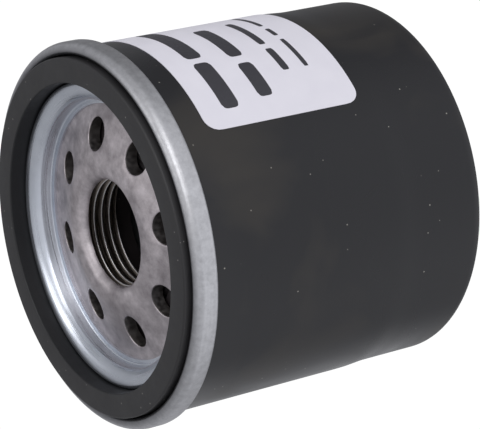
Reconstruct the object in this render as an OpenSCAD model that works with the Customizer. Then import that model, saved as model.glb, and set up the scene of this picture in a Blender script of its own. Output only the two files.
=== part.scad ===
// Spin-on oil filter for a small engine.
// +Z runs along the filter's axis, from the closed end to the open, threaded end.
// The origin is the middle of the flat on the closed end, so the filter stands on z = 0.
// All lengths are in millimetres.

/* [Canister] */
// Height from the flat of the closed end to the gasket's sealing face
overall_h = 65; // [62:0.5:68]
// Outer diameter of the can next to the rolled seam
can_d = 63.6; // [63.4:0.1:64]
// Outer diameter of the can near its closed end
can_tail_d = 63.0; // [62.6:0.1:63.2]
// Thickness of the can's sheet steel
can_t = 0.4; // [0.3:0.05:0.5]
// Angle of the sloping ring round the flat of the closed end
flank_angle = 24; // [20:1:28]

/* [Rolled seam] */
// Outer diameter of the rolled seam
seam_d = 66.4; // [66.3:0.1:66.5]
// Height of the rolled seam
seam_h = 4.1; // [4:0.1:4.4]
// Distance from the sealing face down to the top of the seam
seam_drop = 1; // [0.9:0.1:1.4]
// Thickness of the seaming lid's sheet steel
lid_t = 0.42; // [0.4:0.01:0.45]

/* [Gasket] */
// Outer diameter of the sealing gasket
gasket_od = 61.6; // [61.2:0.1:61.8]
// Inner diameter of the sealing gasket
gasket_id = 53; // [52.8:0.1:54]

/* [Base plate] */
// Minor diameter of the M20 x 1.5 thread, as a plain bore
thread_minor_d = 18.38; // [18.3:0.01:18.5]
// Thickness of the base plate
plate_t = 2.2; // [2:0.1:2.5]
// Number of oil inlet holes
inlet_count = 8; // [6:1:10]
// Diameter of an inlet hole
inlet_d = 5.6; // [4:0.1:6]
// Radius of the ring of inlet holes
inlet_ring_r = 17; // [16.5:0.1:17.4]
// Depth of the threaded collar below the plate's raised ring
collar_h = 7; // [6.5:0.1:7.5]

/* [Filter element] */
// Number of pleats in the paper
pleat_count = 40; // [24:1:44]
// Thickness of the filter paper with its resin
paper_t = 0.55; // [0.4:0.05:0.6]
// Outer radius of the end caps
cap_r = 27.2; // [26:0.1:27.5]
// Outer radius of the perforated centre tube
tube_r = 13.5; // [13.4:0.1:13.6]

/* [Bypass valve] */
// Radius of the bypass port
port_r = 6; // [5:0.1:6.5]
// Coils of the bypass spring
bypass_coils = 4.5; // [4:0.5:5]

/* [Label] */
// Height of the blank label along the can
label_h = 30; // [20:1:34]
// Angle that the label wraps round the can
label_angle = 130; // [60:5:160]

/* [Hidden] */
$fn = 96;
part_gap = 0.05;      // clearance of pieces that are pressed or glued together

// Heights that every piece is set from
seam_top_z = overall_h - seam_drop;
seam_low_z = seam_top_z - seam_h;
flange_z = overall_h - 6.8;         // top of the base plate's outer ring
cap_top_z = 52.2;                   // top of the upper end cap
cap_t = 0.4;
potting_t = 1;
cap_low_z = 9;                      // underside of the lower end cap
media_low_z = cap_low_z + cap_t + potting_t;
media_top_z = cap_top_z - cap_t - potting_t;

// Canister
can_r = can_d / 2;
tail_r = can_tail_d / 2;
shoulder_r = 2.5;                   // corner between the wall and the closed end
shoulder_low_z = 5.2;               // where the corner ends and the sloping ring starts
flank_fillet_r = 10;                // between the sloping ring and the flat
shoulder_mid_z = shoulder_low_z + shoulder_r * cos(flank_angle);
flank_out_r = tail_r - shoulder_r * (1 - sin(flank_angle));
fillet_rise = flank_fillet_r * (1 - cos(flank_angle));
flank_in_r = flank_out_r - (shoulder_low_z - fillet_rise) / tan(flank_angle);
flat_r = flank_in_r - flank_fillet_r * sin(flank_angle);
draw_low_z = 19;                    // the wall widens a little between these two heights
draw_high_z = 23;
neck_low_z = flange_z;              // and again to clear the lid's channel
neck_high_z = flange_z + 0.7;

// Rolled seam, from the outside in: lid, can, lid, can, lid
seam_r = seam_d / 2;
lid_outer_mid_r = seam_r - lid_t / 2;
hook_mid_r = lid_outer_mid_r - lid_t / 2 - can_t / 2;
tuck_mid_r = hook_mid_r - can_t / 2 - lid_t / 2;
neck_mid_r = tuck_mid_r - lid_t / 2 - can_t / 2;
chuck_mid_r = neck_mid_r - can_t / 2 - lid_t / 2;
inner_bend_r = 0.45;                // the lid's top bends tightly inside, widely outside
outer_bend_r = 1.5;
inner_bend_x = chuck_mid_r + inner_bend_r;
outer_bend_x = lid_outer_mid_r - outer_bend_r;
bends_apart = outer_bend_r - inner_bend_r;
next_step = 8;                      // degrees from the angle where they meet to the next point
bend_meet_angle = acos((inner_bend_x - outer_bend_x) / bends_apart);
inner_bend_z = seam_top_z - lid_t / 2 - inner_bend_r;
outer_bend_z = inner_bend_z - bends_apart * sin(bend_meet_angle);
can_bend_r = (hook_mid_r - neck_mid_r) / 2;
can_bend_z = outer_bend_z - part_gap;
tuck_bend_r = (lid_outer_mid_r - tuck_mid_r) / 2;
tuck_bend_z = seam_low_z + lid_t / 2 + tuck_bend_r;
sealant_h = 0.65;                   // pocket over the lid's hook, filled with compound
tuck_top_z = can_bend_z - sealant_h;
bend_steps = 24;                    // fine enough that the nested layers only touch
hook_gap = 0.3;                     // between the can's hook and the lid's lower bend
hook_low_z = tuck_bend_z + hook_gap;

// Gasket channel of the lid
gasket_out_r = gasket_od / 2;
gasket_in_r = gasket_id / 2;
channel_z = flange_z + lid_t;       // floor that the gasket rests on
channel_in_r = gasket_in_r - 0.1;
channel_fillet_r = 0.85;
lid_edge_r = 22.1;
lid_crest_z = overall_h - 2.75;
lid_crest_r = 0.5;
lid_bulge_r = 2.6;
lid_bulge_angle = 65;

// Base plate
bore_r = thread_minor_d / 2;
plate_r = 30.2;
crease_r = 21;                      // where the flat outer ring turns into the cone
crest_out_r = 12.6;                 // where the cone turns into the raised ring
cone_angle = 16.3;
crest_z = flange_z + (crease_r - crest_out_r) * tan(cone_angle);
mouth_r = 1.7;                      // rounding of the bore's mouth
collar_r = 11.6;
collar_low_z = crest_z - collar_h;
root_r = 0.8;                       // between the collar and the underside

// Anti-drain valve
lip_t = 1.2;
lip_in_r = 15;
lip_out_r = 25.2;
lip_gap = 0.5;
lip_flat_z = flange_z - plate_t - lip_gap;
hub_r = 14.5;
hub_top_z = lip_flat_z + 1.6;
neck_in_r = 12.2;                   // hole of the upper end cap

// Filter element
rim_h = 4.7;
media_out_r = cap_r - cap_t - 0.4;
media_in_r = tube_r + 0.3;
tube_t = 0.4;
tube_hole_d = 3.2;
tube_columns = 8;
tube_rows = 6;

// Bypass valve
seat_flange_r = 11.5;
seat_hole_r = 9;                    // hole of the lower end cap
seat_top_z = 10.7;
seal_t = 1;
disc_t = 0.8;
disc_r = 8;
disc_low_z = seat_top_z + 0.1 + seal_t;
stem_r = 2;
stem_top_z = 23;
cage_r = 11.4;
cage_top_z = 22;
cage_t = 0.8;
cage_base_z = cap_low_z + cap_t;
bypass_wire_r = 0.5;
bypass_coil_r = 6;

// Hold-down spring between the closed end and the element
hold_wire_r = 0.9;
hold_coil_r = 13.4;
hold_coils = 3;

// Label
label_t = 0.15;
label_start = -108.6;
label_low_z = 24.6;

// Points along an arc about (x, z), from angle a to angle b
function arc(x, z, r, a, b, n = 8) =
    [for (i = [0:n]) [x + r * cos(a + (b - a) * i / n), z + r * sin(a + (b - a) * i / n)]];

// Unit normal to the left of the step from point p to point q
function left_of(p, q) = [p[1] - q[1], q[0] - p[0]] / norm(q - p);

// Mitre that moves a corner between the normals a and b by one unit
function mitre(a, b) = (a + b) / (1 + a * b);

// A path moved to its left by d
function moved(path, d) = [for (i = [0:len(path) - 1])
    let (last = len(path) - 1)
    let (a = i > 0 ? left_of(path[i - 1], path[i]) : left_of(path[0], path[1]))
    let (b = i < last ? left_of(path[i], path[i + 1]) : a)
    path[i] + d * mitre(a, b)];

function reversed(path) = [for (i = [len(path) - 1:-1:0]) path[i]];

// Outline of a sheet that runs along a path, thickened from side d1 to side d2
function sheet(path, d1, d2) = concat(moved(path, d1), reversed(moved(path, d2)));

// A ring with a rectangular section
module ring(inner_r, outer_r, low_z, high_z) {
    rotate_extrude()
        translate([inner_r, low_z])
            square([outer_r - inner_r, high_z - low_z]);
}

// Round wire wound into a coil, with rings of points swept along it
module coil(coil_r, wire_r, low_z, high_z, turns, per_turn = 22, sides = 8) {
    steps = round(turns * per_turn);
    points = [for (i = [0:steps], k = [0:sides - 1])
        let (a = 360 * turns * i / steps, b = 360 * k / sides)
        let (r = coil_r + wire_r * cos(b))
        let (z = low_z + wire_r + (high_z - low_z - 2 * wire_r) * i / steps)
        [r * cos(a), r * sin(a), z + wire_r * sin(b)]];
    walls = [for (i = [0:steps - 1], k = [0:sides - 1])
        let (m = (k + 1) % sides)
        [i * sides + k, (i + 1) * sides + k, (i + 1) * sides + m, i * sides + m]];
    start_cap = [[for (k = [0:sides - 1]) k]];
    end_cap = [[for (k = [sides - 1:-1:0]) steps * sides + k]];
    polyhedron(points, concat(walls, start_cap, end_cap), convexity = 10);
}

// Deep-drawn can with its mouth hooked over for the rolled seam
module canister() {
    outside = concat(
        [[0, 0]],
        arc(flat_r, flank_fillet_r, flank_fillet_r, -90, -90 + flank_angle, 4),
        arc(tail_r - shoulder_r, shoulder_mid_z, shoulder_r, -90 + flank_angle, 0),
        [[tail_r, draw_low_z], [can_r, draw_high_z]],
        [[can_r, neck_low_z], [neck_mid_r + can_t / 2, neck_high_z]],
        arc(tuck_mid_r, can_bend_z, can_bend_r - can_t / 2, 180, 0, bend_steps),
        [[hook_mid_r - can_t / 2, hook_low_z]]);
    color("#26272a")
        rotate_extrude()
            polygon(sheet(outside, 0, can_t));
}

// Thin steel lid: gasket channel, rounded inner bulge and the seam's three layers
module seaming_lid() {
    floor_mid_z = flange_z + lid_t / 2;
    crest_mid_r = channel_in_r - lid_t / 2 - lid_crest_r;
    crest_mid_z = lid_crest_z - lid_t / 2 - lid_crest_r;
    bulge_r = lid_bulge_r;
    foot_r = 0.6;
    wall = chuck_mid_r - channel_fillet_r - lid_t / 2;
    fillet = channel_fillet_r + lid_t / 2;
    bulge_x = crest_mid_r;
    bulge_z = crest_mid_z + lid_crest_r - bulge_r;
    foot_x = bulge_x - (bulge_r + foot_r) * sin(lid_bulge_angle);
    middle = concat(
        [[lid_edge_r, floor_mid_z]],
        arc(foot_x, floor_mid_z + foot_r, foot_r, -90, -90 + lid_bulge_angle, 4),
        arc(bulge_x, bulge_z, bulge_r, 90 + lid_bulge_angle, 90, 8),
        arc(crest_mid_r, crest_mid_z, lid_crest_r, 80, 0, 5),
        arc(crest_mid_r + lid_crest_r + 0.4, floor_mid_z + 0.4, 0.4, 180, 270, 4),
        arc(wall, floor_mid_z + fillet, fillet, -90, 0, 6),
        arc(inner_bend_x, inner_bend_z, inner_bend_r, 180, bend_meet_angle, 8),
        arc(outer_bend_x, outer_bend_z, outer_bend_r, bend_meet_angle - next_step, 0, 8),
        arc(hook_mid_r, tuck_bend_z, tuck_bend_r, 0, -180, 8),
        [[tuck_mid_r, tuck_top_z]]);
    color("#b4b7bd")
        rotate_extrude()
            polygon(sheet(middle, lid_t / 2, -lid_t / 2));
}

// Sealing compound in the pocket between the can's hook and the lid's
module seam_sealant() {
    color("#6d675c")
        ring(tuck_mid_r - lid_t / 2, tuck_mid_r + lid_t / 2, tuck_top_z, can_bend_z);
}

// Thick pressed plate: oil inlets round a threaded collar
module base_plate() {
    drop = plate_t / cos(cone_angle);
    under_crease_z = flange_z - plate_t;
    under_crest_z = crest_z - drop;
    top = concat(
        [[plate_r, flange_z], [crease_r, flange_z], [crest_out_r, crest_z]],
        arc(bore_r + mouth_r, crest_z - mouth_r, mouth_r, 90, 180, 8),
        [[bore_r, collar_low_z]]);
    under = concat(
        [[collar_r, collar_low_z]],
        arc(collar_r + root_r, under_crest_z - root_r, root_r, 180, 90, 4),
        [[crease_r, under_crease_z], [plate_r, under_crease_z]]);
    color("#7d787b")
        difference() {
            rotate_extrude()
                polygon(concat(top, under));
            for (i = [0:inlet_count - 1])
                rotate([0, 0, 360 * i / inlet_count])
                    translate([inlet_ring_r, 0, under_crease_z - 1])
                        cylinder(h = 2 * plate_t + 4, d = inlet_d);
        }
}

// Welded nuggets that hold the lid down on the plate, under the gasket
module weld_spots() {
    spot_count = 6;
    spot_mid_r = 28.2;
    color("#8c8789")
        for (i = [0:spot_count - 1])
            rotate([0, 0, 360 * (i + 0.5) / spot_count])
                translate([spot_mid_r, 0, channel_z])
                    cylinder(h = 0.15, d = 3);
}

// Moulded rubber ring that seals against the engine
module sealing_gasket() {
    low_z = channel_z + 0.2;
    chamfer = 0.9;
    inner_edge_r = 0.25;
    outer_edge_r = 0.35;
    section = concat(
        [[gasket_in_r + 0.3, low_z], [gasket_out_r - chamfer, low_z]],
        [[gasket_out_r, low_z + chamfer]],
        arc(gasket_out_r - outer_edge_r, overall_h - outer_edge_r, outer_edge_r, 0, 90, 4),
        arc(gasket_in_r + inner_edge_r, overall_h - inner_edge_r, inner_edge_r, 90, 180, 3),
        [[gasket_in_r, low_z + 0.3]]);
    color("#2f2e30")
        rotate_extrude()
            polygon(section);
}

// Fixed middle of the anti-drain valve, gripped between collar and end cap
module anti_drain_hub() {
    inner_r = collar_r + part_gap;
    section = [[inner_r, cap_top_z - 2.7], [neck_in_r - part_gap, cap_top_z - 2.7],
        [neck_in_r - part_gap, cap_top_z], [hub_r, cap_top_z], [hub_r, hub_top_z - 0.6],
        [hub_r - 0.6, hub_top_z], [inner_r, hub_top_z]];
    color("#3a3234")
        rotate_extrude()
            polygon(section);
}

// Flexing skirt of the anti-drain valve, which lies under the inlet holes
module anti_drain_lip() {
    rise = (crease_r - lip_in_r) * tan(cone_angle);
    upper = [[lip_in_r, lip_flat_z + rise], [crease_r, lip_flat_z],
        [lip_out_r - 1.5, lip_flat_z], [lip_out_r - 1.1, lip_flat_z + 0.2],
        [lip_out_r - 0.3, lip_flat_z + 0.2], [lip_out_r, lip_flat_z - 0.1]];
    lower = [[lip_out_r, lip_flat_z - 0.8], [lip_out_r - 0.8, lip_flat_z - lip_t],
        [crease_r, lip_flat_z - lip_t], [lip_in_r, lip_flat_z + rise - lip_t]];
    color("#332c2e")
        rotate_extrude()
            polygon(concat(upper, lower));
}

// Pressed cup that caps one end of the paper, with an optional neck round its hole
module end_cap(hole_r, neck_h) {
    rim_mid_r = cap_r - cap_t / 2;
    path = concat(
        neck_h > 0 ? [[hole_r + cap_t / 2, -neck_h]] : [],
        neck_h > 0 ? arc(hole_r + cap_t / 2 + 0.5, -cap_t / 2 - 0.5, 0.5, 180, 90, 3)
                   : [[hole_r, -cap_t / 2]],
        arc(rim_mid_r - 0.6, -cap_t / 2 - 0.6, 0.6, 90, 0, 4),
        [[rim_mid_r, -rim_h]]);
    rotate_extrude()
        polygon(sheet(path, cap_t / 2, -cap_t / 2));
}

module upper_end_cap() {
    color("#c9b458")
        translate([0, 0, cap_top_z])
            end_cap(neck_in_r, 3);
}

module lower_end_cap() {
    color("#c9b458")
        translate([0, 0, cap_low_z])
            mirror([0, 0, 1])
                end_cap(seat_hole_r, 0);
}

// Adhesive bead that the ends of the paper are set in
module potting(low_z) {
    color("#d8cfae")
        ring(tube_r + 0.1, cap_r - cap_t - 0.5, low_z, low_z + potting_t);
}

module upper_potting() {
    potting(media_top_z);
}

module lower_potting() {
    potting(cap_low_z + cap_t);
}

// Pleated resin paper: a star ring with a fold at each tip and each root
module pleated_media() {
    step = 360 / pleat_count;
    root_half = PI * media_in_r / pleat_count;
    function at(r, angle, side) = [r * cos(angle) - side * sin(angle),
        r * sin(angle) + side * cos(angle)];
    function star(tip_r, tip_half, root_r, root_gap) = [for (i = [0:pleat_count - 1])
        each [at(root_r, step * (i - 0.5), root_gap),
            at(tip_r, step * i, -tip_half),
            at(tip_r, step * i, tip_half),
            at(root_r, step * (i + 0.5), -root_gap)]];
    outside = star(media_out_r, paper_t, media_in_r + paper_t, 0.12);
    inside = star(media_out_r - paper_t, 0.06, media_in_r, root_half - paper_t);
    color("#d9c79a")
        translate([0, 0, media_low_z])
            linear_extrude(media_top_z - media_low_z)
                difference() {
                    polygon(outside);
                    polygon(inside);
                }
}

// Folded metal strip that grips the pleat where the paper's two ends meet
module media_seam_clip() {
    grip_r = media_out_r - 4;
    slot_half = paper_t + 0.18;
    clip_t = 0.28;
    length = media_top_z - media_low_z;
    color("#a9abae")
        translate([0, 0, media_low_z])
            difference() {
                translate([grip_r, -slot_half - clip_t, 0])
                    cube([media_out_r + clip_t - grip_r, 2 * (slot_half + clip_t), length]);
                translate([grip_r - 1, -slot_half, -1])
                    cube([media_out_r + 0.02 - grip_r + 1, 2 * slot_half, length + 2]);
            }
}

// Perforated steel tube that carries the paper from inside
module centre_tube() {
    low_z = cap_low_z + cap_t + part_gap;
    high_z = cap_top_z - cap_t - part_gap;
    pitch = (high_z - low_z) / (tube_rows + 0.5);
    color("#9a9b9e")
        difference() {
            ring(tube_r - tube_t, tube_r, low_z, high_z);
            for (j = [0:tube_rows - 1], i = [0:tube_columns - 1])
                rotate([0, 0, (i + (j % 2) / 2) * 360 / tube_columns])
                    translate([tube_r - 3, 0, low_z + pitch * (j + 0.75)])
                        rotate([0, 90, 0])
                            cylinder(h = 6, d = tube_hole_d);
        }
}

// Turned ring, riveted into the lower end cap, with the raised bypass port
module bypass_seat() {
    section = [[port_r, cap_low_z - 0.7], [seat_flange_r, cap_low_z - 0.7],
        [seat_flange_r, cap_low_z], [seat_hole_r - part_gap, cap_low_z],
        [seat_hole_r - part_gap, cage_base_z], [port_r + 2.2, cage_base_z],
        [port_r + 1.2, seat_top_z], [port_r, seat_top_z]];
    color("#a5a6a8")
        rotate_extrude()
            polygon(section);
}

// Rubber face of the bypass valve
module bypass_seal() {
    color("#3a3536")
        ring(stem_r - 0.5, disc_r, disc_low_z - seal_t, disc_low_z);
}

// Steel disc of the bypass valve with its guide stem and rivet end
module bypass_disc() {
    section = [[0, disc_low_z - seal_t], [stem_r - 0.5, disc_low_z - seal_t],
        [stem_r - 0.5, disc_low_z], [disc_r, disc_low_z],
        [disc_r, disc_low_z + disc_t], [stem_r, disc_low_z + disc_t],
        [stem_r, stem_top_z - 0.5], [stem_r - 0.5, stem_top_z], [0, stem_top_z]];
    color("#b9babd")
        rotate_extrude()
            polygon(section);
}

module bypass_spring() {
    color("#8f9194")
        coil(bypass_coil_r, bypass_wire_r, disc_low_z + disc_t, cage_top_z - cage_t,
            bypass_coils);
}

// Stamped cage over the bypass valve: foot ring, four legs and a guide bridge
module bypass_cage() {
    foot_in_r = port_r + 2.6;
    leg_in_r = cage_r - cage_t;
    guide_r = stem_r + 0.3;
    color("#a1a2a4") {
        difference() {
            union() {
                ring(foot_in_r, cage_r, cage_base_z, cage_base_z + cage_t);
                ring(leg_in_r, cage_r, cage_base_z, cage_top_z);
                ring(guide_r, cage_r, cage_top_z - cage_t, cage_top_z);
            }
            for (i = [0:1])
                rotate([0, 0, 90 * i + 45])
                    translate([-cage_r - 1, -4.5, cage_base_z + 2])
                        cube([2 * cage_r + 2, 9, cage_top_z - cage_base_z - 4]);
        }
    }
}

module hold_down_spring() {
    color("#85878b")
        coil(hold_coil_r, hold_wire_r, can_t + 0.02, cap_low_z - 0.02, hold_coils);
}

// Blank film label stuck round the can
module blank_label() {
    color("#dddce2")
        rotate([0, 0, label_start])
            rotate_extrude(angle = label_angle)
                translate([can_r, label_low_z])
                    square([label_t, label_h]);
}

canister();
seaming_lid();
seam_sealant();
base_plate();
weld_spots();
sealing_gasket();
anti_drain_hub();
anti_drain_lip();
upper_end_cap();
upper_potting();
pleated_media();
media_seam_clip();
lower_potting();
lower_end_cap();
centre_tube();
bypass_seat();
bypass_seal();
bypass_disc();
bypass_spring();
bypass_cage();
hold_down_spring();
blank_label();
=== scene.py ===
# A small black spin-on oil filter, standing on its closed end with its open, threaded end up.
import math
import bmesh
import bpy
from mathutils import Matrix, Quaternion, Vector


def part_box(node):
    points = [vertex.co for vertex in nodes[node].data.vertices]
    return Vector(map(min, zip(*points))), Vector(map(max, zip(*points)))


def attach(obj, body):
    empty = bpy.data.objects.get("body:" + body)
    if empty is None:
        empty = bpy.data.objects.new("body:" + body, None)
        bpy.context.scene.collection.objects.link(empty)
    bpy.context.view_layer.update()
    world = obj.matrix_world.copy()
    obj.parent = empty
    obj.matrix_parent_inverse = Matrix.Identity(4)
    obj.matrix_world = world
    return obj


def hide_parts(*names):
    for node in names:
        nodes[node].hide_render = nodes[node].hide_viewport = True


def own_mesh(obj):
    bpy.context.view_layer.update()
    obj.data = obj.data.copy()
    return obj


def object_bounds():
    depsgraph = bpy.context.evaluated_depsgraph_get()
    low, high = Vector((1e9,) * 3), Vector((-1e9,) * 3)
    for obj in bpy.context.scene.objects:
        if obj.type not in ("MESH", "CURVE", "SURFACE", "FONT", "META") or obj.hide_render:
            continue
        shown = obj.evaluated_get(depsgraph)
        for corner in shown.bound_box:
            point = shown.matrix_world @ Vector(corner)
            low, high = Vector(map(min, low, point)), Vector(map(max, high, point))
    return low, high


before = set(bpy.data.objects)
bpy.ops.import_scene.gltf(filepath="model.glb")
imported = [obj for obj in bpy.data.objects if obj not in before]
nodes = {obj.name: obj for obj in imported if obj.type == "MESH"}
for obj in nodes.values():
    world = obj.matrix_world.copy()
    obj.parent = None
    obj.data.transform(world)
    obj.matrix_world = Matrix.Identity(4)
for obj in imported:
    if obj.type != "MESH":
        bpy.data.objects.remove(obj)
cad_low, cad_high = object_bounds()

# ---------------------------------------------------------------- studio
# A light table under the filter, soft light from above, and a long lens that looks down at
# the open end. The camera is turned on its side, so that the filter seems to lie down.
target = Vector((-0.00125, 0.00106, 0.0346))
camera_place = Vector((-0.2494, -0.2821, 0.2621))
camera_roll = math.radians(-102.87)
camera_data = bpy.data.cameras.new("camera")
camera_data.lens = 190.0
camera_data.sensor_width = 36.0
camera = bpy.data.objects.new("camera", camera_data)
bpy.context.scene.collection.objects.link(camera)
bpy.context.scene.camera = camera
camera.location = camera_place
camera.rotation_mode = "QUATERNION"
look = (target - camera_place).to_track_quat("-Z", "Y")
camera.rotation_quaternion = look @ Quaternion((0, 0, 1), camera_roll)
bpy.context.scene.view_settings.view_transform = "Standard"


def add(tree, kind, settings=None, **links):
    """Adds a node, sets its properties and sockets, and links sockets given by name or number.
    A link starts from a socket, or from a node's first output that is in use."""
    node = tree.nodes.new(kind)
    for key, value in (settings or {}).items():
        if hasattr(node, key):
            setattr(node, key, value)
        else:
            node.inputs[int(key[1:]) if key[0] == "#" else key].default_value = value
    for key, source in links.items():
        if isinstance(source, bpy.types.Node):
            source = next(output for output in source.outputs if output.enabled)
        numbered = key[0] == "i" and key[1:].isdigit()
        tree.links.new(source, node.inputs[int(key[1:]) if numbered else key.replace("_", " ")])
    return node


def softbox(name, azimuth, elevation, distance, size, watts):
    """A square area light aimed at the middle of the filter."""
    light = bpy.data.lights.new(name, "AREA")
    light.size = size
    light.energy = watts
    place = bpy.data.objects.new(name, light)
    a, e = math.radians(azimuth), math.radians(elevation)
    away = Vector((math.cos(a) * math.cos(e), math.sin(a) * math.cos(e), math.sin(e)))
    place.location = target + away * distance
    place.rotation_mode = "QUATERNION"
    place.rotation_quaternion = away.to_track_quat("Z", "Y")
    bpy.context.scene.collection.objects.link(place)


softbox("overhead", azimuth=-24, elevation=68, distance=0.7, size=0.4, watts=0.8)
softbox("key", azimuth=-98, elevation=30, distance=0.9, size=0.6, watts=2.0)

# Above the table's edge the room is grey, and brighter on the near side. Below it, a pale
# screen stands on the side that the long wall faces, and a small card stands behind, so that
# gloss keeps soft, even tones.
room = bpy.data.worlds.new("studio air")
room.use_nodes = True
tree = room.node_tree
way = add(tree, "ShaderNodeTexCoord").outputs["Generated"]


def brighter_towards(azimuth, low, high, dim, bright):
    """The room's strength: dim, and bright towards a compass direction, between two cosines."""
    turn = math.radians(azimuth)
    facing = add(tree, "ShaderNodeVectorMath",
                 {"operation": "DOT_PRODUCT", "#1": (math.cos(turn), math.sin(turn), 0.0)}, i0=way)
    return add(tree, "ShaderNodeMapRange", {"interpolation_type": "SMOOTHSTEP", "From Min": low,
               "From Max": high, "To Min": dim, "To Max": bright}, Value=facing.outputs["Value"])


screen = brighter_towards(-145, low=-0.5, high=0.75, dim=0.25, bright=1.0)
card = brighter_towards(75, low=0.55, high=0.85, dim=0.0, bright=0.3)
sky = brighter_towards(-131, low=-0.2, high=0.6, dim=0.45, bright=0.75)
screens = add(tree, "ShaderNodeMath", {"operation": "ADD"}, i0=screen, i1=card)
height = add(tree, "ShaderNodeSeparateXYZ", Vector=way).outputs["Z"]
horizon = add(tree, "ShaderNodeMapRange", {"interpolation_type": "SMOOTHSTEP", "From Min": -0.15,
              "From Max": 0.03}, Value=height)
air = add(tree, "ShaderNodeMix", Factor=horizon, A=screens, B=sky)
background = tree.nodes["Background"]
background.inputs["Color"].default_value = (0.95, 0.96, 1.0, 1.0)
tree.links.new(air.outputs["Result"], background.inputs["Strength"])
bpy.context.scene.world = room


def srgb(code):
    """An sRGB hex colour as linear RGBA."""
    parts = [int(code[i:i + 2], 16) / 255 for i in (0, 2, 4)]
    line = [p / 12.92 if p <= 0.04045 else ((p + 0.055) / 1.055) ** 2.4 for p in parts]
    return (*line, 1.0)


opal = bpy.data.materials.new("lit opal acrylic")
opal.use_nodes = True
opal.node_tree.nodes.clear()
glow = add(opal.node_tree, "ShaderNodeEmission", {"Strength": 1.05})
add(opal.node_tree, "ShaderNodeOutputMaterial", Surface=glow)
table_half, table_drop = 3.0, 0.00002
table_bm = bmesh.new()
bmesh.ops.create_grid(table_bm, x_segments=1, y_segments=1, size=table_half)
bmesh.ops.translate(table_bm, vec=(0, 0, -table_drop), verts=table_bm.verts)
table_mesh = bpy.data.meshes.new("light table")
table_bm.to_mesh(table_mesh)
table_bm.free()
table_mesh.materials.append(opal)
table = bpy.data.objects.new("light table", table_mesh)
bpy.context.scene.collection.objects.link(table)
table.visible_glossy = False

# ---------------------------------------------------------------- canister
# The can is deep drawn from thin sheet steel, so its wall widens a little towards its mouth,
# and its closed end is pressed to a sloping ring round a flat. Its mouth is hooked over.
MM = 0.001
can_top = cad_high.z / MM
seam_radius = cad_high.x / MM
can_sheet, lid_sheet = 0.4, 0.42
gasket_proud, seam_depth, plate_depth = 1.0, 4.1, 6.8
seam_top = can_top - gasket_proud
seam_low = seam_top - seam_depth
plate_top = can_top - plate_depth
fold_radius = seam_radius - 1.5 * lid_sheet - can_sheet
tight_bend, wide_bend, layer_gap = 0.45, 1.5, 0.05
tight_r = fold_radius - lid_sheet - can_sheet + tight_bend
wide_r = seam_radius - lid_sheet / 2 - wide_bend
bends_apart = wide_bend - tight_bend
bends_meet = math.degrees(math.acos((tight_r - wide_r) / bends_apart))
tight_z = seam_top - lid_sheet / 2 - tight_bend
wide_z = tight_z - bends_apart * math.sin(math.radians(bends_meet))
bend_height = wide_z - layer_gap
can_radius, tail_radius = 31.8, 31.5


def arc(middle_r, middle_z, radius, start, stop, steps=8):
    """Points along an arc in the half plane of radius and height, angles in degrees."""
    turns = [math.radians(start + (stop - start) * i / steps) for i in range(steps + 1)]
    return [(middle_r + radius * math.cos(t), middle_z + radius * math.sin(t)) for t in turns]


def beside(path, distance):
    """The path moved to its left, with its corners mitred."""
    points = [Vector(p) for p in path]
    steps = [(b - a).normalized() for a, b in zip(points, points[1:])]
    lefts = [Vector((-s.y, s.x)) for s in steps]
    lefts = [lefts[0], *lefts, lefts[-1]]
    return [tuple(p + (a + b) * distance / (1 + a.dot(b))) for p, a, b in zip(points, lefts, lefts[1:])]


def sheet(path, left, right):
    """The closed outline of sheet metal that runs along a path."""
    return beside(path, left) + beside(path, right)[::-1]


def spun(outline, steps=256, closed=True):
    """A bmesh of an outline in millimetres, spun once round the filter's axis."""
    made = bmesh.new()
    verts = [made.verts.new((r * MM, 0, z * MM)) for r, z in outline]
    pairs = list(zip(verts, verts[1:])) + ([(verts[-1], verts[0])] if closed else [])
    edges = [made.edges.new(p) for p in pairs]
    bmesh.ops.spin(made, geom=verts + edges, cent=(0, 0, 0), axis=(0, 0, 1), dvec=(0, 0, 0),
                   angle=2 * math.pi, steps=steps, use_merge=True, use_duplicate=False)
    bmesh.ops.remove_doubles(made, verts=made.verts, dist=1e-7)
    bmesh.ops.recalc_face_normals(made, faces=made.faces)
    return made


def piece(made, name, materials, node=None, crease=34):
    """Turns a bmesh into a shown piece of the filter's body, smooth but for its sharp edges."""
    for face in made.faces:
        face.smooth = True
    for edge in made.edges:
        if len(edge.link_faces) == 2 and edge.calc_face_angle() > math.radians(crease):
            edge.smooth = False
    mesh = bpy.data.meshes.new(name)
    made.to_mesh(mesh)
    made.free()
    for material in materials:
        mesh.materials.append(material)
    shown = bpy.data.objects.new(name, mesh)
    bpy.context.scene.collection.objects.link(shown)
    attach(shown, "filter_shell")
    if node:
        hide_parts(node)
    return shown


def new_material(name):
    """A material, its empty node tree, and the place on the object to draw patterns from."""
    made = bpy.data.materials.new(name)
    made.use_nodes = True
    tree = made.node_tree
    tree.nodes.clear()
    return made, tree, add(tree, "ShaderNodeTexCoord").outputs["Object"]


def surface(tree, settings=None, **links):
    """Ends a material with its shader and its output."""
    shader = add(tree, "ShaderNodeBsdfPrincipled", settings, **links)
    add(tree, "ShaderNodeOutputMaterial", Surface=shader)


def spaced(size):
    """The scale of a pattern whose marks are this many millimetres apart."""
    return 1 / (size * MM)


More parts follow.
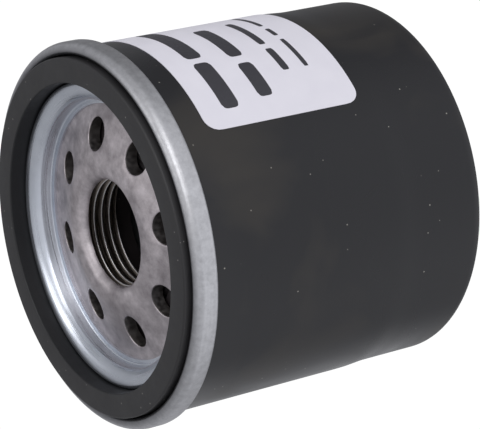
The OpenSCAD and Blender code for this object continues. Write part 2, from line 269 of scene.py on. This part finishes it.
def dust(tree, place, spacing, size, share):
    """A mask of settled specks: their spacing and size in millimetres, and the share kept."""
    cells = add(tree, "ShaderNodeTexVoronoi", {"Scale": spaced(spacing)}, Vector=place)
    spot = add(tree, "ShaderNodeMapRange", {"From Min": 0.6 * size / spacing, "From Max": size / spacing,
               "To Min": 1.0, "To Max": 0.0}, Value=cells.outputs["Distance"])
    chance = add(tree, "ShaderNodeSeparateColor", Color=cells.outputs["Color"])
    kept = add(tree, "ShaderNodeMath", {"operation": "LESS_THAN", "#1": share}, i0=chance.outputs["Red"])
    return add(tree, "ShaderNodeMath", {"operation": "MULTIPLY"}, i0=spot, i1=kept)


flank = 24
corner_radius, corner_foot, flat_fillet = 2.5, 5.2, 10.0
sine, cosine = math.sin(math.radians(flank)), math.cos(math.radians(flank))
flank_outer = tail_radius - corner_radius * (1 - sine)
flat_rise = flat_fillet * (1 - cosine)
flat_radius = flank_outer - (corner_foot - flat_rise) * cosine / sine - flat_fillet * sine
neck_radius = fold_radius - lid_sheet / 2
hook_bend, hook_end = lid_sheet / 2, seam_low + 0.92
can_outside = [(0, 0)]
can_outside += arc(flat_radius, flat_fillet, flat_fillet, -90, -90 + flank, 8)
can_outside += arc(tail_radius - corner_radius, corner_foot + corner_radius * cosine,
                   corner_radius, -90 + flank, 0, 12)
can_outside += [(tail_radius, 10), (tail_radius, 18)]
can_outside += [(tail_radius + part * (can_radius - tail_radius), z)
                for part, z in ((0.1, 19.4), (0.5, 21), (0.9, 22.6))]
can_outside += [(can_radius, z) for z in (24, 40, 52, plate_top)] + [(neck_radius, plate_top + 0.7)]
can_outside += arc(fold_radius, bend_height, hook_bend, 180, 0, 12) + [(fold_radius + hook_bend, hook_end)]

# Stoved enamel is near black and evenly glossy, with faint wiped smudges and settled dust.
# Its orange peel is drawn wider than the real one, so that it shows.
enamel, tree, place = new_material("semi-gloss black stoving enamel")
wipe = add(tree, "ShaderNodeTexNoise", {"Scale": spaced(26.3), "Detail": 3.0, "Distortion": 0.8},
           Vector=place)
smudge = add(tree, "ShaderNodeMapRange", {"From Min": 0.52, "From Max": 0.72}, Value=wipe)
wiped = add(tree, "ShaderNodeMix", {"data_type": "RGBA", "A": srgb("0E0E12"), "B": srgb("262320")},
            Factor=smudge)
specks = dust(tree, place, spacing=2.6, size=0.16, share=0.6)
dusted = add(tree, "ShaderNodeMix", {"data_type": "RGBA", "B": srgb("85827C")}, Factor=specks, A=wiped)
gloss = add(tree, "ShaderNodeMapRange", {"From Min": 0.3, "From Max": 0.72, "To Min": 0.2, "To Max": 0.42},
            Value=wipe)
peel = add(tree, "ShaderNodeTexNoise", {"Scale": spaced(2.38), "Detail": 1.0}, Vector=place)
peel_bump = add(tree, "ShaderNodeBump", {"Strength": 0.05, "Distance": 0.1 * MM}, Height=peel)
surface(tree, {"IOR": 1.44}, Base_Color=dusted, Roughness=gloss, Normal=peel_bump)

piece(spun(sheet(can_outside, 0, can_sheet), closed=False), "can_shell", [enamel],
      "canister")

# ---------------------------------------------------------------- seaming lid
# A thin zinc-coated steel pressing: it holds the gasket in a channel, and its edge is rolled
# together with the can's. Drawing leaves streaks round it, and the rollers leave the seam dull.
lid_bore, channel_inner, crest_depth = 22.1, 26.4, 2.75
crest_radius, bulge, foot = 0.5, 2.6, 0.6
gutter_bend, hem_bend, sealant_height = 0.4, 0.41, 0.65
bulge_turn = 65
channel_fillet = 0.85 + lid_sheet / 2
chuck_radius = fold_radius - lid_sheet - can_sheet
outer_radius = fold_radius + lid_sheet + can_sheet
lid_mid = plate_top + lid_sheet / 2
crest_r = channel_inner - lid_sheet / 2 - crest_radius
crest_z = can_top - crest_depth - lid_sheet / 2 - crest_radius
foot_r = crest_r - (bulge + foot) * math.sin(math.radians(bulge_turn))
lid_middle = [(lid_bore, lid_mid)]
lid_middle += arc(foot_r, lid_mid + foot, foot, -90, -90 + bulge_turn, 6)
lid_middle += arc(crest_r, crest_z + crest_radius - bulge, bulge, 90 + bulge_turn, 90, 12)
lid_middle += arc(crest_r, crest_z, crest_radius, 80, 0, 6)
lid_middle += arc(crest_r + crest_radius + gutter_bend, lid_mid + gutter_bend, gutter_bend, 180, 270, 4)
lid_middle += arc(chuck_radius - channel_fillet, lid_mid + channel_fillet, channel_fillet, -90, 0, 6)
lid_middle += arc(tight_r, tight_z, tight_bend, 180, bends_meet, 10)
lid_middle += arc(wide_r, wide_z, wide_bend, bends_meet - 5, 0, 14)
lid_middle += arc(outer_radius - hem_bend, seam_low + lid_sheet / 2 + hem_bend, hem_bend, 0, -180, 10)
lid_middle += [(fold_radius, bend_height - sealant_height)]


def polar(tree, place):
    """The radius in metres, and noise drawn out round the axis as forming marks are."""
    streaks, streaks_round = spaced(0.3125), 1.6
    axes = add(tree, "ShaderNodeSeparateXYZ", Vector=place)
    flat = add(tree, "ShaderNodeVectorMath", {"operation": "MULTIPLY", "#1": (1.0, 1.0, 0.0)}, i0=place)
    radius = add(tree, "ShaderNodeVectorMath", {"operation": "LENGTH"}, i0=flat).outputs["Value"]
    around = add(tree, "ShaderNodeVectorMath", {"operation": "NORMALIZE"}, i0=flat)
    spread = add(tree, "ShaderNodeMath", {"operation": "MULTIPLY", "#1": streaks}, i0=radius)
    rise = add(tree, "ShaderNodeMath", {"operation": "MULTIPLY", "#1": streaks}, i0=axes.outputs["Z"])
    lift = add(tree, "ShaderNodeCombineXYZ", Z=spread)
    ring_place = add(tree, "ShaderNodeVectorMath",
                     {"operation": "MULTIPLY_ADD", "#1": (streaks_round, streaks_round, 0.0)},
                     i0=around, i2=lift)
    marks = add(tree, "ShaderNodeTexNoise", {"noise_dimensions": "4D", "Scale": 1.0, "Detail": 2.5},
                Vector=ring_place, W=rise)
    return radius, marks


# The zinc is bright on the drawn inside and worn to an even grey on the seam, darkened with painted
# shade in the groove beside the gasket. The grit is drawn coarser than the real one, so that it shows.
noise_span = {"From Min": 0.3, "From Max": 0.7}
zinc, tree, place = new_material("bright zinc on pressed steel")
radius, marks = polar(tree, place)
rolled = add(tree, "ShaderNodeMapRange", {"From Min": 30.8 * MM, "From Max": 31.4 * MM}, Value=radius)
cloud = add(tree, "ShaderNodeTexNoise", {"Scale": spaced(5.88), "Detail": 4.0, "Roughness": 0.6},
            Vector=place)
bright = add(tree, "ShaderNodeMix", {"data_type": "RGBA", "A": srgb("BBC0CA"), "B": srgb("DDE1E8")},
             Factor=cloud)
grit = add(tree, "ShaderNodeTexNoise", {"Scale": spaced(1.11), "Detail": 4.0, "Roughness": 0.7}, Vector=place)
grit_share = add(tree, "ShaderNodeMapRange", {"From Min": 0.25, "From Max": 0.75}, Value=grit)
worn = add(tree, "ShaderNodeMix", {"data_type": "RGBA", "A": srgb("AEAEB1"), "B": srgb("CCCCCF")},
           Factor=grit_share)
# Painted shade: the seam darkens towards the gasket and fades out across its top.
grime = add(tree, "ShaderNodeMapRange", {"From Min": 31.5 * MM, "From Max": 32.7 * MM, "To Min": 0.8,
            "To Max": 0.0}, Value=radius)
soiled = add(tree, "ShaderNodeMix", {"data_type": "RGBA", "B": srgb("5C5C60")}, Factor=grime, A=worn)
coating = add(tree, "ShaderNodeMix", {"data_type": "RGBA"}, Factor=rolled, A=bright, B=soiled)
satin = add(tree, "ShaderNodeMapRange", {**noise_span, "To Min": 0.2, "To Max": 0.46}, Value=marks)
dull = add(tree, "ShaderNodeMapRange", {**noise_span, "To Min": 0.36, "To Max": 0.5}, Value=marks)
polish = add(tree, "ShaderNodeMix", Factor=rolled, A=satin, B=dull)
lines = add(tree, "ShaderNodeBump", {"Strength": 0.3, "Distance": 0.1 * MM}, Height=marks)
surface(tree, {"Metallic": 1.0}, Base_Color=coating, Roughness=polish, Normal=lines)

piece(spun(sheet(lid_middle, lid_sheet / 2, -lid_sheet / 2)), "seam_lid", [zinc],
      "seaming_lid")


def mottled(name, size, detail, dark, light, smooth, rough, metallic=0.0, streaked=False):
    """A material whose mottling, in marks of a size in millimetres, blends two colours and two
    roughnesses. The roughness of streaked metal follows its forming marks instead."""
    made, tree, place = new_material(name)
    mottle = add(tree, "ShaderNodeTexNoise", {"Scale": spaced(size), "Detail": detail}, Vector=place)
    colour = add(tree, "ShaderNodeMix", {"data_type": "RGBA", "A": srgb(dark), "B": srgb(light)},
                 Factor=mottle)
    pattern = polar(tree, place)[1] if streaked else mottle
    gloss = add(tree, "ShaderNodeMapRange", {**noise_span, "To Min": smooth, "To Max": rough}, Value=pattern)
    surface(tree, {"Metallic": metallic}, Base_Color=colour, Roughness=gloss)
    return made


def finish(material, *names):
    """Gives CAD nodes their material."""
    for name in names:
        for slot in nodes[name].material_slots:
            slot.material = material


# The sealing compound is flowed in wet, and dries to a matt, slightly grainy film.
finish(mottled("dried seam compound", 0.667, 3.0, "5E584E", "7A7466", 0.6, 0.8), "seam_sealant")

# ---------------------------------------------------------------- gasket
# A moulded nitrile ring, square in section with slightly rounded face edges, dull and a
# little dusty. It stands in the lid's channel and proud of the rolled seam.
gasket_outer, gasket_inner = 30.8, 26.5
gasket_foot = plate_top + lid_sheet + 0.2
outer_chamfer, inner_chamfer, outer_edge, inner_edge = 0.9, 0.3, 0.35, 0.25
section = [(gasket_inner + inner_chamfer, gasket_foot), (gasket_outer - outer_chamfer, gasket_foot)]
section += [(gasket_outer, gasket_foot + outer_chamfer), (gasket_outer, can_top - 2)]
section += arc(gasket_outer - outer_edge, can_top - outer_edge, outer_edge, 0, 90, 6)
section += arc(gasket_inner + inner_edge, can_top - inner_edge, inner_edge, 90, 180, 5)
section += [(gasket_inner, gasket_foot + inner_chamfer)]


def rubber(name, dark, light, dust_share, bore=0.0, bore_colour="000000"):
    """Moulded rubber: a fine grain, a cloudy bloom and dust, and painted shade that darkens the wall inside a
    bore.
    """
    made, tree, place = new_material(name)
    bloom = add(tree, "ShaderNodeTexNoise", {"Scale": spaced(4.55), "Detail": 5.0, "Roughness": 0.65},
                Vector=place)
    body = add(tree, "ShaderNodeMix", {"data_type": "RGBA", "A": srgb(dark), "B": srgb(light)}, Factor=bloom)
    specks = dust(tree, place, spacing=1.8, size=0.14, share=dust_share)
    dusty = add(tree, "ShaderNodeMix", {"data_type": "RGBA", "B": srgb("8A8784")}, Factor=specks, A=body)
    # Painted shade: the wall inside the bore takes the dark bore colour.
    wall = add(tree, "ShaderNodeMapRange", {"From Min": (bore + 0.05) * MM, "From Max": (bore + 0.3) * MM,
               "To Min": 1.0, "To Max": 0.0}, Value=polar(tree, place)[0])
    oily = add(tree, "ShaderNodeMix", {"data_type": "RGBA", "B": srgb(bore_colour)}, Factor=wall, A=dusty)
    matt = add(tree, "ShaderNodeMapRange", {**noise_span, "To Min": 0.42, "To Max": 0.6}, Value=bloom)
    grain = add(tree, "ShaderNodeTexNoise", {"Scale": spaced(0.385), "Detail": 2.0}, Vector=place)
    pores = add(tree, "ShaderNodeBump", {"Strength": 0.12, "Distance": 0.05 * MM}, Height=grain)
    surface(tree, Base_Color=oily, Roughness=matt, Normal=pores)
    return made


# The wall inside the gasket's bore is painted near black with shade.
nitrile = rubber("moulded nitrile rubber", "181718", "262527", 0.9, gasket_inner, "090A0D")
piece(spun(section), "gasket", [nitrile], "sealing_gasket")

# ---------------------------------------------------------------- base plate
# Thick pickled steel, blanked, dished and pierced in a press, then tapped M20 x 1.5 in its
# drawn collar. The piercing punch rounds the edges of the eight inlet holes.
plate_thick, plate_rim, plate_flat = 2.2, 30.2, 26.0
crease_r, ring_r, cone = 21.0, 12.6, math.tan(math.radians(16.3))
raised_z = plate_top + (crease_r - ring_r) * cone
bore_minor, bore_major, pitch = 9.19, 10.0, 1.5
mouth = 1.7
mouth_low = raised_z - mouth
collar_r, collar_z = 11.6, raised_z - 7
under_crest = raised_z - plate_thick / math.cos(math.atan(cone))

plate_outline = [(plate_rim, plate_top), (plate_flat, plate_top), (crease_r + 0.5, plate_top)]
plate_outline += [(crease_r, plate_top + 0.05), (crease_r - 0.5, plate_top + 0.5 * cone)]
plate_outline += [(r, plate_top + (crease_r - r) * cone) for r in (19.5, 18, 16.5, 15, ring_r + 0.6)]
plate_outline += [(ring_r, raised_z - 0.06), (ring_r - 0.7, raised_z)]
lip_r, lip_step = 9.21, 0.35
root_turn = math.degrees(math.asin((bore_minor + mouth - lip_r) / mouth))
lip_z = mouth_low + mouth * math.cos(math.radians(root_turn))
plate_outline += arc(bore_minor + mouth, mouth_low, mouth, 90, 90 + root_turn, 10)
plate_outline += [(bore_major, lip_z - lip_step), (bore_major, collar_z), (collar_r, collar_z)]
plate_outline += arc(collar_r + 0.8, under_crest - 0.8, 0.8, 180, 90, 4)
plate_outline += [(crease_r, plate_top - plate_thick), (plate_rim, plate_top - plate_thick)]
blank_bm = spun(plate_outline, steps=192)

inlets, inlet_r, inlet_ring, hoop_sides = 8, 2.8, 17.0, 48
punch = bmesh.new()
for hoop_r, above in ((inlet_r, -6.0), (inlet_r, -0.3), (inlet_r + 0.04, -0.12), (inlet_r + 0.12, -0.02),
                      (inlet_r + 0.2, 0.02), (inlet_r + 0.4, 0.5)):
    hoop = bmesh.ops.create_circle(punch, cap_ends=False, segments=hoop_sides, radius=hoop_r * MM)["verts"]
    for vert in hoop:
        vert.co.x += inlet_ring * MM
        dish = max(0.0, crease_r - vert.co.length / MM) * cone
        vert.co.z = (plate_top + dish + above) * MM
punch.edges.ensure_lookup_table()
hoops = [punch.edges[i:i + hoop_sides] for i in range(0, len(punch.edges), hoop_sides)]
for low_hoop, high_hoop in zip(hoops, hoops[1:]):
    bmesh.ops.bridge_loops(punch, edges=list(low_hoop) + list(high_hoop))
bmesh.ops.holes_fill(punch, edges=punch.edges[:], sides=hoop_sides)
bmesh.ops.recalc_face_normals(punch, faces=punch.faces)
one_punch = punch.verts[:] + punch.edges[:] + punch.faces[:]
for i in range(1, inlets):
    copied = bmesh.ops.duplicate(punch, geom=one_punch)["geom"]
    bmesh.ops.rotate(punch, cent=(0, 0, 0), matrix=Matrix.Rotation(2 * math.pi * i / inlets, 3, "Z"),
                     verts=[part for part in copied if isinstance(part, bmesh.types.BMVert)])


def held(made, name):
    """A plain object of a bmesh, for a modifier to work on."""
    mesh = bpy.data.meshes.new(name)
    made.to_mesh(mesh)
    made.free()
    kept = bpy.data.objects.new(name, mesh)
    bpy.context.scene.collection.objects.link(kept)
    return kept


punches = held(punch, "punches")
blank = held(blank_bm, "blank")
pierce = blank.modifiers.new("pierce", "BOOLEAN")
pierce.operation = "DIFFERENCE"
pierce.object = punches
pierce.solver = "EXACT"
plate_bm = bmesh.new()
plate_bm.from_mesh(blank.evaluated_get(bpy.context.evaluated_depsgraph_get()).to_mesh())
bpy.data.objects.remove(blank)
bpy.data.objects.remove(punches)
for face in plate_bm.faces:
    middle = face.calc_center_median() / MM
    slice_angle = 2 * math.pi / inlets
    nearest = round(math.atan2(middle.y, middle.x) / slice_angle) * slice_angle
    inlet = Vector((inlet_ring * math.cos(nearest), inlet_ring * math.sin(nearest)))
    if middle.xy.length < bore_major + 0.02 and middle.z < lip_z:
        face.material_index = 1
    elif (middle.xy - inlet).length < inlet_r + 0.02:
        face.material_index = 2

# The thread's ridge is one profile wound up the bore and into the rounding of its mouth,
# where the tap cuts it ever lower. It is cut off level at both its ends.
ridge_foot, ridge_crest, ridge_sunk = 0.62, 0.1, 0.05
ridge_low = collar_z - 1.78
turns, turn_steps = 6, 120
ridge = [(bore_major + ridge_sunk, -ridge_foot), (bore_minor, -ridge_crest),
         (bore_minor, ridge_crest), (bore_major + ridge_sunk, ridge_foot)]
thread = bmesh.new()
ridge_face = thread.faces.new([thread.verts.new((r * MM, 0, (ridge_low + z) * MM)) for r, z in ridge])
bmesh.ops.spin(thread, geom=[ridge_face], cent=(0, 0, 0), axis=(0, 0, 1),
               dvec=(0, 0, pitch * MM / turn_steps), angle=2 * math.pi * turns,
               steps=turn_steps * turns, use_merge=False, use_duplicate=False)
for level, outwards in ((collar_z + 0.02, -1), (lip_z - 0.02, 1)):
    bmesh.ops.bisect_plane(thread, geom=thread.verts[:] + thread.edges[:] + thread.faces[:], dist=1e-7,
                           plane_co=(0, 0, level * MM), plane_no=(0, 0, outwards), clear_outer=True)
    open_edges = [edge for edge in thread.edges if edge.is_boundary]
    bmesh.ops.holes_fill(thread, edges=open_edges, sides=0)
for vert in thread.verts:
    rise = max(vert.co.z / MM - mouth_low, 0)
    rounding = bore_minor + mouth - math.sqrt(mouth ** 2 - min(rise, mouth) ** 2)
    vert.co.xy *= max(1, rounding * MM / vert.co.xy.length)
bmesh.ops.recalc_face_normals(thread, faces=thread.faces)
for face in thread.faces:
    face.material_index = 1
thread_mesh = bpy.data.meshes.new("thread")
thread.to_mesh(thread_mesh)
thread.free()
plate_bm.from_mesh(thread_mesh)

# Pickling leaves hot rolled steel mid grey and matt, with fine pits and darker mottling. The
# pits are drawn wider than real ones, so that they show.
pickled, tree, place = new_material("pickled hot rolled steel")
mottle = add(tree, "ShaderNodeTexNoise", {"Scale": spaced(3.33), "Detail": 6.0, "Roughness": 0.7},
             Vector=place)
mottle_share = add(tree, "ShaderNodeMapRange", noise_span, Value=mottle)
grey = add(tree, "ShaderNodeMix", {"data_type": "RGBA", "A": srgb("958E91"), "B": srgb("D4CDD0")},
           Factor=mottle_share)
stain = add(tree, "ShaderNodeTexNoise", {"Scale": spaced(14.3), "Detail": 2.0}, Vector=place)
stain_share = add(tree, "ShaderNodeMapRange", {"From Min": 0.45, "From Max": 0.75, "To Max": 0.45},
                  Value=stain)
stained = add(tree, "ShaderNodeMix", {"data_type": "RGBA", "B": srgb("857F82")}, Factor=stain_share, A=grey)
matt = add(tree, "ShaderNodeMapRange", {**noise_span, "To Min": 0.42, "To Max": 0.58}, Value=mottle)
pits = add(tree, "ShaderNodeTexNoise", {"Scale": spaced(1.11), "Detail": 4.0}, Vector=place)
pits_bump = add(tree, "ShaderNodeBump", {"Strength": 0.45, "Distance": 0.1 * MM}, Height=pits)
surface(tree, {"Metallic": 1.0}, Base_Color=stained, Roughness=matt, Normal=pits_bump)

# The tap polishes the crests, and the grooves are painted darker with shade.
tapped, tree, place = new_material("oily tapped steel")
radius, marks = polar(tree, place)
# Painted shade: the grooves between the crests are darker.
groove = add(tree, "ShaderNodeMapRange", {"From Min": (bore_minor + 0.03) * MM,
             "From Max": (bore_minor + 0.16) * MM}, Value=radius)
oil = add(tree, "ShaderNodeMix", {"data_type": "RGBA", "A": srgb("6A615B"), "B": srgb("A2988F")},
          Factor=marks)
cut = add(tree, "ShaderNodeMix", {"data_type": "RGBA", "A": srgb("D6D4D5")}, Factor=groove, B=oil)
wet = add(tree, "ShaderNodeMapRange", {**noise_span, "To Min": 0.2, "To Max": 0.36}, Value=marks)
surface(tree, {"Metallic": 1.0}, Base_Color=cut, Roughness=wet)

# The punched walls of the inlets are torn, and painted darker with shade inside the holes.
torn = mottled("oily sheared steel", 0.77, 3.0, "5F5B59", "8F8A87", 0.35, 0.6, metallic=1.0)

piece(plate_bm, "inlet_plate", [pickled, tapped, torn], "base_plate")

# The welded nuggets are the plate's own steel, blued by heat round their edges.
finish(mottled("heat-tinted weld", 2.0, 2.0, "6E7186", "9A8F86", 0.35, 0.55, metallic=1.0), "weld_spots")

# ---------------------------------------------------------------- anti-drain valve
# One soft nitrile moulding: its hub is gripped round the collar, and its skirt lies under
# the inlet holes. It is darker and softer than the gasket, and wet with assembly oil.
soft_nitrile = rubber("soft moulded nitrile", "1B1718", "2A2425", 0.2)
finish(soft_nitrile, "anti_drain_hub", "anti_drain_lip")

# ---------------------------------------------------------------- filter element
# Resin-cured paper, pleated, closed with a folded clip, and set in adhesive between two
# pressed caps round a perforated tube.
passivated = mottled("yellow-passivated tinplate", 7.69, 3.0, "B89B4E", "D2C08A", 0.22, 0.38,
                     metallic=1.0, streaked=True)
finish(passivated, "upper_end_cap", "lower_end_cap")
plastisol = mottled("cured plastisol", 3.125, 2.0, "C9BE97", "DCD3B2", 0.35, 0.55)
finish(plastisol, "upper_potting", "lower_potting")

# The paper's fibres lie every way, and its sheet is embossed with ribs that run round it. At a
# scale of one, a wave texture has a rib every tau / 20 metres, so the ribs' scale allows for it.
rib_spacing = 2.417
paper, tree, place = new_material("resin-cured filter paper")
fibre = add(tree, "ShaderNodeTexNoise", {"Scale": spaced(0.714), "Detail": 5.0, "Distortion": 1.2},
            Vector=place)
straw = add(tree, "ShaderNodeMix", {"data_type": "RGBA", "A": srgb("C9AE72"), "B": srgb("E4D3A4")},
            Factor=fibre)
ribs = add(tree, "ShaderNodeTexWave", {"bands_direction": "Z", "Scale": spaced(rib_spacing) * math.tau / 20},
           Vector=place).outputs["Fac"]
emboss = add(tree, "ShaderNodeBump", {"Strength": 0.5, "Distance": 0.2 * MM}, Height=ribs)
fuzz = add(tree, "ShaderNodeBump", {"Strength": 0.3, "Distance": 0.1 * MM}, Height=fibre, Normal=emboss)
surface(tree, {"Roughness": 0.85}, Base_Color=straw, Normal=fuzz)
finish(paper, "pleated_media")


def plain_steel(name, dark, light, smooth, rough):
    """Uncoated worked steel: a mottled grey with forming marks that run round it."""
    return mottled(name, 4.17, 4.0, dark, light, smooth, rough, metallic=1.0, streaked=True)


finish(plain_steel("folded steel strip", "94969A", "B4B6BA", 0.25, 0.4), "media_seam_clip")
finish(plain_steel("phosphated perforated steel", "5E6062", "86888A", 0.45, 0.6), "centre_tube")

# ---------------------------------------------------------------- bypass valve
# A turned ring is riveted into the lower cap. A steel disc faced with rubber is held on it
# by a coil spring, and a stamped cage guides the disc's stem.
turned = plain_steel("turned steel", "A2A4A8", "C2C4C8", 0.16, 0.3)
finish(turned, "bypass_seat", "bypass_disc")
finish(plain_steel("stamped steel strip", "8A8C90", "AEB0B4", 0.28, 0.42), "bypass_cage")
finish(soft_nitrile, "bypass_seal")


def wound(coil_r, wire_r, low, high, turns, closed_turns, steps_per_turn=48):
    """A bmesh of round wire wound to a coil, whose end turns lie close together."""
    made = bmesh.new()
    hoop = bmesh.ops.create_circle(made, cap_ends=True, segments=16, radius=wire_r * MM)["verts"]
    bmesh.ops.rotate(made, cent=(0, 0, 0), matrix=Matrix.Rotation(math.pi / 2, 3, "X"), verts=hoop)
    bmesh.ops.translate(made, vec=(coil_r * MM, 0, (low + wire_r) * MM), verts=hoop)
    closed_rise = closed_turns * 2 * wire_r
    open_rise = high - low - 2 * wire_r - 2 * closed_rise
    end = made.faces[:]
    closed, middle = (closed_turns, closed_rise), (turns - 2 * closed_turns, open_rise)
    for part, rise in (closed, middle, closed):
        steps = round(steps_per_turn * part)
        grown = bmesh.ops.spin(made, geom=end, cent=(0, 0, 0), axis=(0, 0, 1), dvec=(0, 0, rise * MM / steps),
                               angle=2 * math.pi * part, steps=steps, use_merge=False, use_duplicate=False)
        end = grown["geom_last"]
    bmesh.ops.recalc_face_normals(made, faces=made.faces)
    return made


spring_wire = plain_steel("drawn spring wire", "6A6C70", "8C8E92", 0.2, 0.34)
spring_low, spring_high = (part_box("bypass_spring")[i].z / MM for i in (0, 1))
bypass_wire = wound(coil_r=6.0, wire_r=0.5, low=spring_low, high=spring_high, turns=4.5, closed_turns=0.5)
bypass_coil = piece(bypass_wire, "bypass_coil", [spring_wire], "bypass_spring")
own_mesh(bypass_coil)

# ---------------------------------------------------------------- hold-down spring
# Heavier wire, wound to a short wide coil: it stands on the closed end and presses the
# element up against the base plate.
hold_low, hold_high = (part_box("hold_down_spring")[i].z / MM for i in (0, 1))
hold_wire = wound(coil_r=13.4, wire_r=0.9, low=hold_low, high=hold_high, turns=3, closed_turns=0.5)
piece(hold_wire, "hold_down_coil", [spring_wire], "hold_down_spring")

# ---------------------------------------------------------------- label
# A satin film label with rounded corners, wrapped round the can and stuck down. Plain bars
# are printed on it in rows, one where each line of lettering would be.
label_low, label_high = 24.6, 54.6
label_start, label_wrap = -108.6, 130.0
label_thick = 0.1
label_corner = 2.6
glue_radius = can_radius + 0.02
label_length = math.radians(label_wrap) * glue_radius


def film(low, high, start, length, corner, radius, thick, columns, rows):
    """A bmesh of thin film with rounded corners, wrapped round the can; start is along it."""
    made = bmesh.new()
    bmesh.ops.create_grid(made, x_segments=columns, y_segments=rows, size=0.5)
    half = Vector((length / 2, (high - low) / 2))
    for vert in made.verts:
        flat = Vector((vert.co.x * length, vert.co.y * (high - low)))
        over = Vector((max(abs(flat.x) - half.x + corner, 0), max(abs(flat.y) - half.y + corner, 0)))
        if over.x > 0 and over.y > 0:
            pull = 1 - max(over) / over.length
            flat.x -= math.copysign(over.x * pull, flat.x)
            flat.y -= math.copysign(over.y * pull, flat.y)
        angle = math.radians(label_start) + (start + half.x + flat.x) / glue_radius
        vert.co = Vector((radius * math.cos(angle), radius * math.sin(angle), low + half.y + flat.y)) * MM
    bmesh.ops.recalc_face_normals(made, faces=made.faces)
    bmesh.ops.solidify(made, geom=made.faces[:], thickness=-thick * MM)
    return made


white_film = mottled("satin white label film", 3.85, 3.0, "D0CED8", "D8D6DF", 0.36, 0.46)
label_bm = film(label_low, label_high, start=0, length=label_length, corner=label_corner, radius=glue_radius,
                thick=label_thick, columns=120, rows=30)
piece(label_bm, "label_film", [white_film], "blank_label")

ink = mottled("black printing ink", 0.556, 2.0, "232228", "34333A", 0.36, 0.5)
ink_radius, ink_thick = glue_radius + label_thick + 0.005, 0.01
print_bm = bmesh.new()
for low, high, bars in ((46.8, 50.0, ((3.5, 11), (16, 17))), (39.7, 42.5, ((4.5, 8), (14.5, 12))),
                        (33.9, 35.3, ((9, 6), (16.5, 11))), (30.1, 31.0, ((9, 8), (18.5, 3), (23, 9)))):
    for bar_start, bar_length in bars:
        bar = film(low, high, start=bar_start, length=bar_length, corner=(high - low) * 0.3,
                   radius=ink_radius, thick=ink_thick, columns=max(8, round(bar_length)), rows=8)
        bar_mesh = bpy.data.meshes.new("bar")
        bar.to_mesh(bar_mesh)
        bar.free()
        print_bm.from_mesh(bar_mesh)
        bpy.data.meshes.remove(bar_mesh)
piece(print_bm, "label_bars", [ink])
